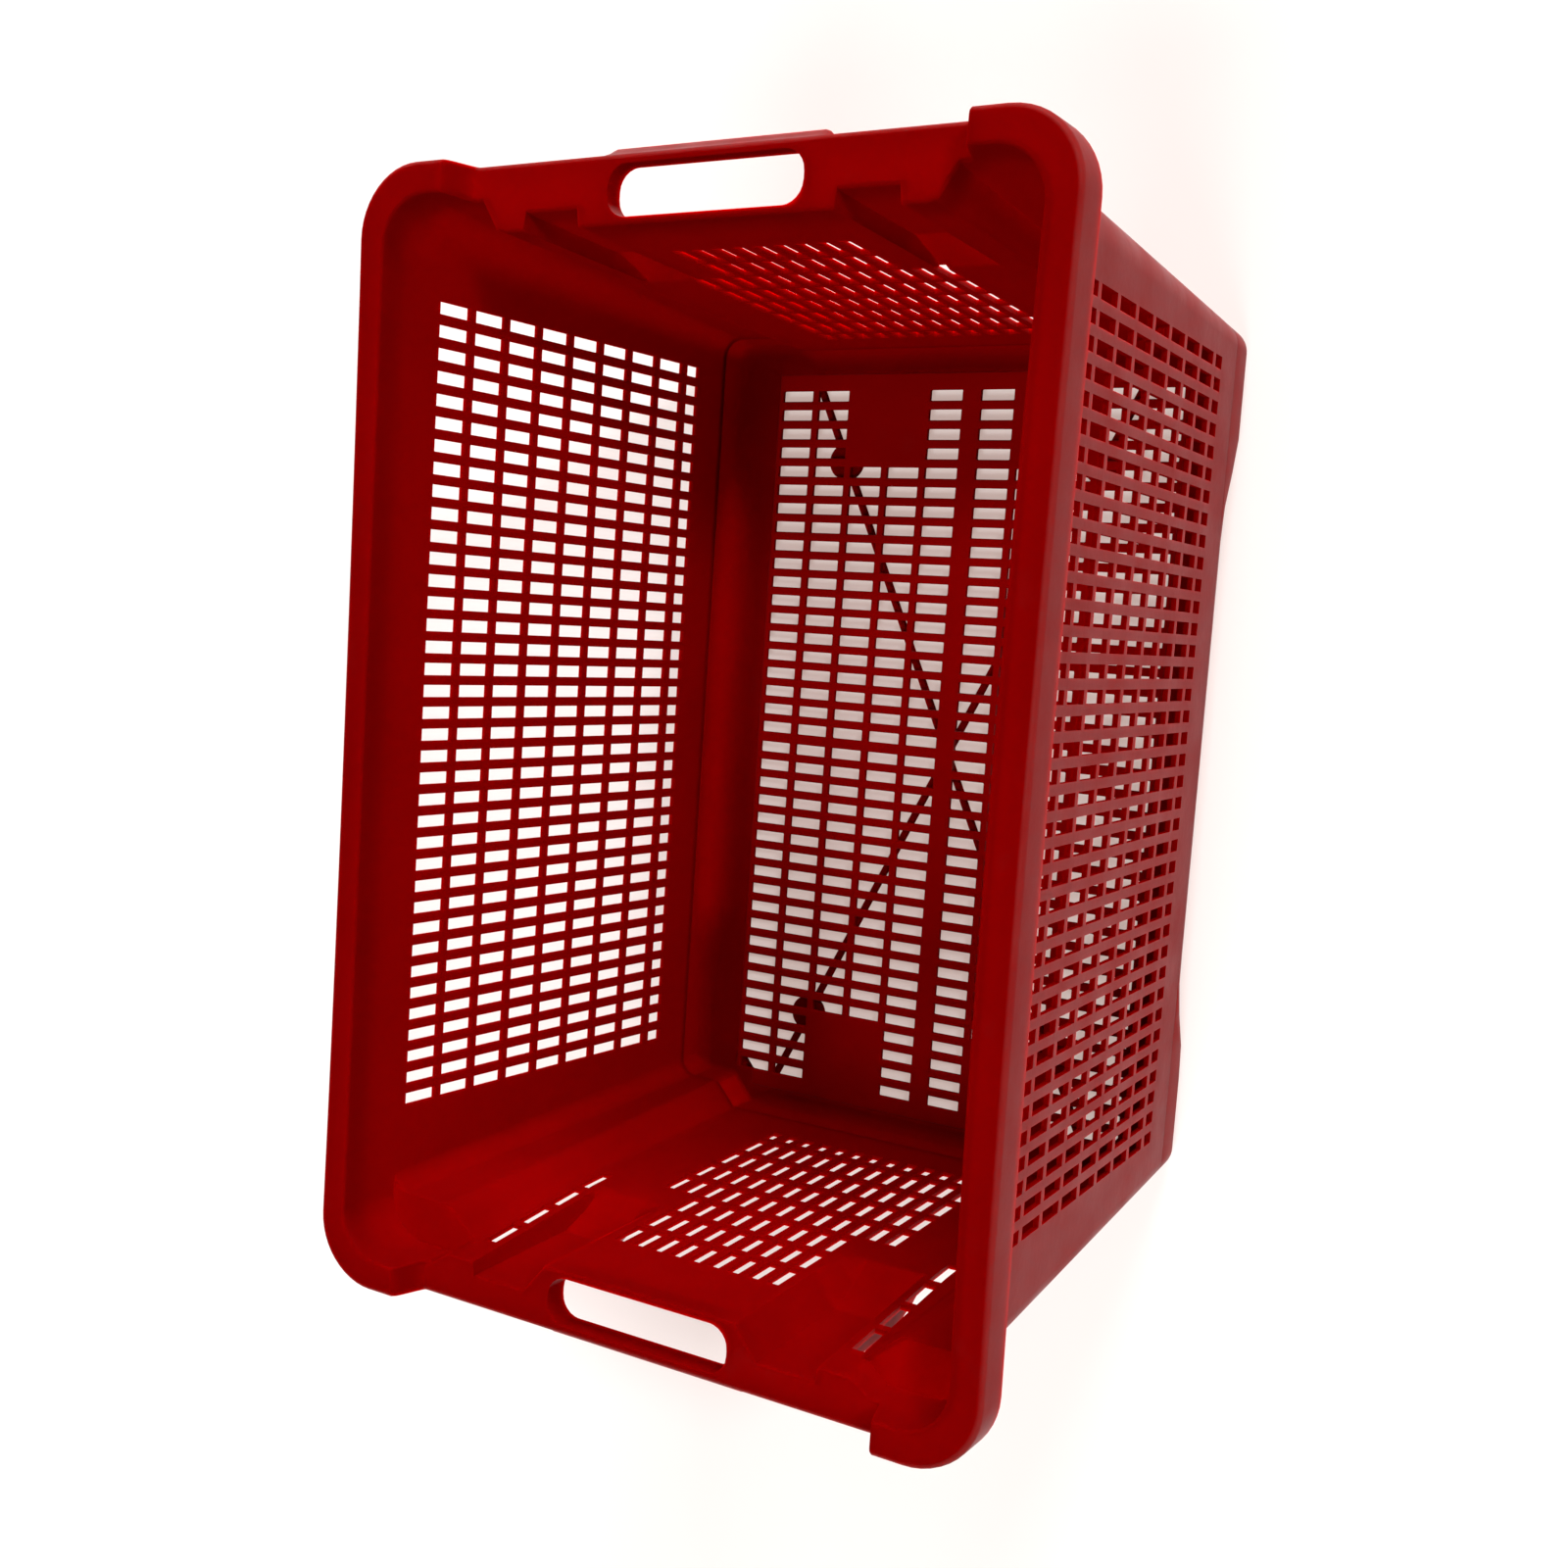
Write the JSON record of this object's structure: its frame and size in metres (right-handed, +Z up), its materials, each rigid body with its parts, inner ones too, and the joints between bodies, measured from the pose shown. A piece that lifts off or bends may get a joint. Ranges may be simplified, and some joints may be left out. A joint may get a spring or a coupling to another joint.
{
  "type": "grape harvest tub",
  "caption": "Open perforated plastic harvest tub with a rounded flanged rim, a lowered handle shelf with a hand slot at each end, stacking pockets and nesting channels.",
  "frame": {"origin": "middle of the foot, on the ground plane", "axes": "+Z up out of the open mouth, +X along the length towards the end without the stacking ledges, +Y across to the left side"},
  "size_m": [0.549, 0.36, 0.314],
  "materials": {
    "tub_plastic": "semi-matt moulded food-grade polyethylene, deep red, lightly scuffed"
  },
  "bodies": {
    "root": {"floor_grid": "tub_plastic", "floor_cross_ribs": "tub_plastic", "base_rail_left": "tub_plastic", "base_rail_right": "tub_plastic", "base_rail_front": "tub_plastic", "base_rail_rear": "tub_plastic", "corner_foot_front_left": "tub_plastic", "corner_foot_front_right": "tub_plastic", "corner_foot_rear_left": "tub_plastic", "corner_foot_rear_right": "tub_plastic", "cheek_foot_left": "tub_plastic", "cheek_foot_right": "tub_plastic", "corner_post_front_left": "tub_plastic", "corner_post_front_right": "tub_plastic", "corner_post_rear_left": "tub_plastic", "corner_post_rear_right": "tub_plastic", "side_wall_left": "tub_plastic", "side_wall_right": "tub_plastic", "end_wall_front": "tub_plastic", "end_wall_rear": "tub_plastic", "nest_channel_front_left": "tub_plastic", "nest_channel_front_right": "tub_plastic", "nest_channel_rear_left": "tub_plastic", "nest_channel_rear_right": "tub_plastic", "stack_pocket_rear_left": "tub_plastic", "stack_pocket_rear_right": "tub_plastic", "side_rim_left": "tub_plastic", "side_rim_right": "tub_plastic", "corner_rim_front_left": "tub_plastic", "corner_rim_front_right": "tub_plastic", "corner_rim_rear_left": "tub_plastic", "corner_rim_rear_right": "tub_plastic", "handle_shelf_front": "tub_plastic", "handle_shelf_rear": "tub_plastic", "handle_grip_front": "tub_plastic", "handle_grip_rear": "tub_plastic"}
  },
  "joints": []
}
